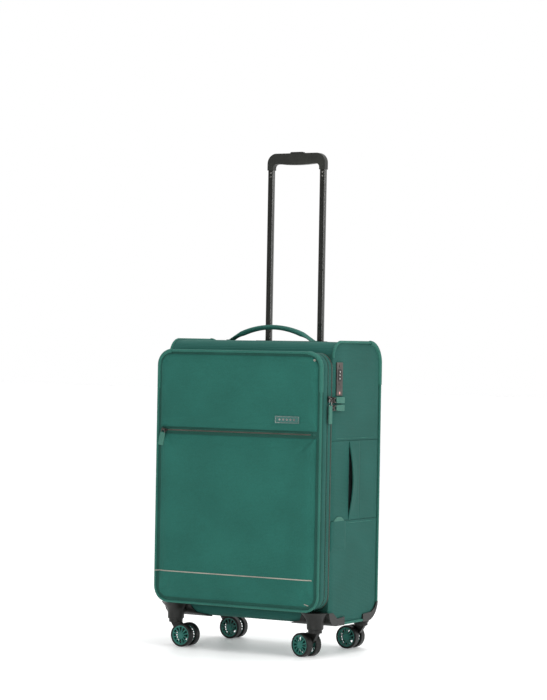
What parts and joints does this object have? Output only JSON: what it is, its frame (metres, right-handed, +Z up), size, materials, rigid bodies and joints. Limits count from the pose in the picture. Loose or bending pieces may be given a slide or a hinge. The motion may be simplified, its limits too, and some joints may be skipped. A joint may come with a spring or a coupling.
{
  "type": "soft-side spinner suitcase",
  "caption": "Upright fabric suitcase on swivelling twin-wheel castors, with a telescopic handle, zipped opening lid, front compartment, combination lock and carry handles.",
  "frame": {"origin": "on the floor, under the middle of the whole closed case", "axes": "+X to the right of the front, +Y to the back, +Z up along the trolley handle"},
  "size_m": [0.44, 0.2809, 1.118],
  "materials": {
    "fabric_side": "woven",
    "fabric_front": "woven",
    "piping": "woven bead",
    "webbing": "ribbed webbing",
    "zip_coil": "coil",
    "lining": "plain weave",
    "strap": "webbing",
    "tube_fixed": "mill finish",
    "black_metal": "gloss",
    "black_plastic": "moulded",
    "gunmetal": "satin",
    "bright_metal": "satin",
    "dial": "moulded",
    "tab_rubber": "satin",
    "hub_plastic": "moulded",
    "tyre": "smooth"
  },
  "bodies": {
    "case": {"side_panel_right": "fabric_side", "side_panel_left": "fabric_side", "top_panel": "fabric_side", "back_panel": "fabric_side", "bottom_panel": "fabric_side", "front_rim": "fabric_side", "case_piping": "piping", "main_zip": "zip_coil", "trolley_cover": "lining", "outer_tubes": "tube_fixed", "handle_tray": "black_plastic", "carry_handle": "webbing", "side_handle": "fabric_side", "side_feet": "black_plastic", "lock_body": "gunmetal", "tag_pocket": "fabric_side", "corner_guards": "black_plastic", "packing_straps": "strap"},
    "lid": {"lid_gusset": "fabric_side", "lid_divider": "lining", "front_zip": "zip_coil"},
    "front_flap": {"flap_gusset": "fabric_side", "front_board": "fabric_side", "upper_pad": "fabric_front", "pocket_pad": "fabric_front", "front_piping": "piping", "pocket_zip": "zip_coil", "badge_plate": "gunmetal"},
    "trolley": {"inner_tubes": "black_metal", "grip": "black_plastic"},
    "trolley_button": {"grip_button": "black_plastic"},
    "dial_a": {"dial_top": "dial"},
    "dial_b": {"dial_middle": "dial"},
    "dial_c": {"dial_bottom": "dial"},
    "lock_release": {"lock_button": "gunmetal"},
    "main_slider_upper": {"slider_upper": "gunmetal"},
    "main_pull_upper": {"pull_upper": "tab_rubber"},
    "main_slider_lower": {"slider_lower": "gunmetal"},
    "main_pull_lower": {"pull_lower": "tab_rubber"},
    "compartment_slider": {"front_slider": "bright_metal"},
    "compartment_pull": {"front_pull": "tab_rubber"},
    "pocket_runner": {"pocket_slider": "gunmetal"},
    "pocket_tab": {"pocket_pull": "tab_rubber"},
    "name_tag": {"id_tag": "tab_rubber"},
    "castor_fl": {"fork_fl": "black_plastic"},
    "wheels_fl": {"axle_fl": "bright_metal", "hubs_fl": "hub_plastic", "tyres_fl": "tyre"},
    "castor_fr": {"fork_fr": "black_plastic"},
    "wheels_fr": {"axle_fr": "bright_metal", "hubs_fr": "hub_plastic", "tyres_fr": "tyre"},
    "castor_rr": {"fork_rr": "black_plastic"},
    "wheels_rr": {"axle_rr": "bright_metal", "hubs_rr": "hub_plastic", "tyres_rr": "tyre"},
    "castor_rl": {"fork_rl": "black_plastic"},
    "wheels_rl": {"axle_rl": "bright_metal", "hubs_rl": "hub_plastic", "tyres_rl": "tyre"}
  },
  "joints": [
    {"name": "lid_hinge", "type": "hinge", "parent": "case", "child": "lid", "pos_m": [-0.216, -0.0824, 0.382], "axis": [0, 0, -1], "range_deg": [0, 125]},
    {"name": "flap_hinge", "type": "hinge", "parent": "lid", "child": "front_flap", "pos_m": [-0.216, -0.0984, 0.382], "axis": [0, 0, -1], "range_deg": [0, 70]},
    {"name": "trolley_slide", "type": "slide", "parent": "case", "child": "trolley", "axis": [0, 0, 1], "range_m": [-0.405, 0]},
    {"name": "trolley_button_press", "type": "slide", "parent": "trolley", "child": "trolley_button", "axis": [0, 0, -1], "range_m": [0, 0.0025], "stiffness_N_per_m": 400, "springref_m": -0.001},
    {"name": "dial_a_turn", "type": "hinge", "parent": "case", "child": "dial_a", "pos_m": [0.2057, -0.0525, 0.6216], "axis": [0, 0, 1], "continuous": true},
    {"name": "dial_b_turn", "type": "hinge", "parent": "case", "child": "dial_b", "pos_m": [0.2057, -0.0525, 0.614], "axis": [0, 0, 1], "continuous": true},
    {"name": "dial_c_turn", "type": "hinge", "parent": "case", "child": "dial_c", "pos_m": [0.2057, -0.0525, 0.6064], "axis": [0, 0, 1], "continuous": true},
    {"name": "lock_release_press", "type": "slide", "parent": "case", "child": "lock_release", "axis": [-1, 0, 0], "range_m": [0, 0.0012], "stiffness_N_per_m": 400, "springref_m": -0.0005},
    {"name": "main_slider_upper_run", "type": "slide", "parent": "case", "child": "main_slider_upper", "axis": [0, 0, 1], "range_m": [0, 0.06]},
    {"name": "main_slider_lower_run", "type": "slide", "parent": "case", "child": "main_slider_lower", "axis": [0, 0, 1], "range_m": [-0.395, 0]},
    {"name": "compartment_slider_run", "type": "slide", "parent": "lid", "child": "compartment_slider", "axis": [0, 0, 1], "range_m": [-0.41, 0.055]},
    {"name": "pocket_runner_run", "type": "slide", "parent": "front_flap", "child": "pocket_runner", "axis": [1, 0, 0], "range_m": [0, 0.365]},
    {"name": "main_pull_upper_swing", "type": "hinge", "parent": "main_slider_upper", "child": "main_pull_upper", "pos_m": [0.2154, -0.0805, 0.56], "axis": [0, 0, -1], "range_deg": [0, 120]},
    {"name": "main_pull_lower_swing", "type": "hinge", "parent": "main_slider_lower", "child": "main_pull_lower", "pos_m": [0.2154, -0.0805, 0.543], "axis": [0, 0, -1], "range_deg": [0, 120]},
    {"name": "compartment_pull_swing", "type": "hinge", "parent": "compartment_slider", "child": "compartment_pull", "pos_m": [0.2154, -0.0965, 0.562], "axis": [0, -1, 0], "range_deg": [0, 120]},
    {"name": "pocket_tab_swing", "type": "hinge", "parent": "pocket_runner", "child": "pocket_tab", "pos_m": [-0.189, -0.1352, 0.485], "axis": [-0.9781, 0, 0.2079], "range_deg": [0, 120]},
    {"name": "name_tag_slide", "type": "slide", "parent": "case", "child": "name_tag", "axis": [0, 0, 1], "range_m": [0, 0.045]},
    {"name": "castor_fl_swivel", "type": "hinge", "parent": "case", "child": "castor_fl", "pos_m": [-0.18, -0.085, 0.056], "axis": [0, 0, 1], "continuous": true},
    {"name": "wheels_fl_roll", "type": "hinge", "parent": "castor_fl", "child": "wheels_fl", "pos_m": [-0.154, -0.085, 0.026], "axis": [0, 1, 0], "continuous": true},
    {"name": "castor_fr_swivel", "type": "hinge", "parent": "case", "child": "castor_fr", "pos_m": [0.18, -0.085, 0.056], "axis": [0, 0, 1], "continuous": true},
    {"name": "wheels_fr_roll", "type": "hinge", "parent": "castor_fr", "child": "wheels_fr", "pos_m": [0.15489, -0.07827, 0.026], "axis": [-0.2588, -0.9659, 0], "continuous": true},
    {"name": "castor_rr_swivel", "type": "hinge", "parent": "case", "child": "castor_rr", "pos_m": [0.18, 0.122, 0.056], "axis": [0, 0, 1], "continuous": true},
    {"name": "wheels_rr_roll", "type": "hinge", "parent": "castor_rr", "child": "wheels_rr", "pos_m": [0.154, 0.122, 0.026], "axis": [0, -1, 0], "continuous": true},
    {"name": "castor_rl_swivel", "type": "hinge", "parent": "case", "child": "castor_rl", "pos_m": [-0.18, 0.122, 0.056], "axis": [0, 0, 1], "continuous": true},
    {"name": "wheels_rl_roll", "type": "hinge", "parent": "castor_rl", "child": "wheels_rl", "pos_m": [-0.154, 0.122, 0.026], "axis": [0, 1, 0], "continuous": true}
  ]
}
